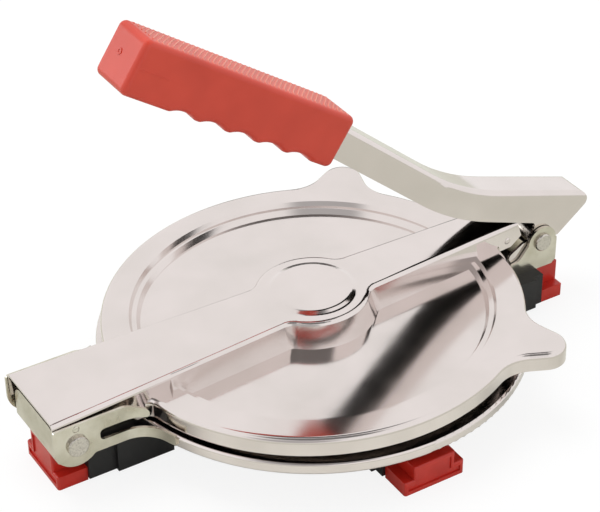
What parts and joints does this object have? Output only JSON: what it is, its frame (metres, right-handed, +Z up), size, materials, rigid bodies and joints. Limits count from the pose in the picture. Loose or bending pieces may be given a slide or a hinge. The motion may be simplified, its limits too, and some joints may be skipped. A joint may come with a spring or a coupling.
{
  "type": "puri press",
  "caption": "Hand press for flattening dough balls: round base on a cross of legs, hinged lid with a ribbed top, and a bent channel lever with a moulded grip.",
  "frame": {"origin": "on the floor, under the centre of the outline", "axes": "+X from the hinge to the lever pin, +Z up, mirror plane XZ"},
  "size_m": [0.2661, 0.1808, 0.1807],
  "materials": {
    "polished_steel": "mirror polished stainless sheet",
    "sheet_steel": "bright rolled stainless sheet",
    "pin_steel": "plated steel",
    "black_plastic": "moulded, finely textured",
    "red_foot_plastic": "moulded, semi-gloss",
    "red_grip_plastic": "moulded, finely ribbed on top"
  },
  "bodies": {
    "base": {"base_pan": "sheet_steel", "base_press_plate": "sheet_steel", "hinge_bracket": "sheet_steel", "lever_bracket": "sheet_steel", "leg_frame": "black_plastic", "foot_hinge_end": "red_foot_plastic", "foot_lever_end": "red_foot_plastic", "foot_front": "red_foot_plastic", "foot_rear": "red_foot_plastic", "foot_screws": "pin_steel", "hinge_bracket_rivets": "pin_steel", "lever_bracket_rivets": "pin_steel", "leg_rivets": "pin_steel", "hinge_pin": "pin_steel", "hinge_spacer": "pin_steel", "lever_pin": "pin_steel", "lever_spacer": "pin_steel"},
    "lid": {"lid_cover": "polished_steel", "lid_press_plate": "sheet_steel"},
    "lever": {"lever_channel": "polished_steel", "grip": "red_grip_plastic"}
  },
  "joints": [
    {"name": "lever_pivot", "type": "hinge", "parent": "base", "child": "lever", "pos_m": [0.1083, 0, 0.0297], "axis": [0, 1, 0], "range_deg": [-20.5, 65]},
    {"name": "lid_hinge", "type": "hinge", "parent": "base", "child": "lid", "pos_m": [-0.1232, 0, 0.0256], "axis": [0, -1, 0], "range_deg": [-1.6, 95]}
  ],
  "couplings": [
    {"joint": "lid_hinge", "follows": "lever_pivot", "ratio": 0.078}
  ]
}
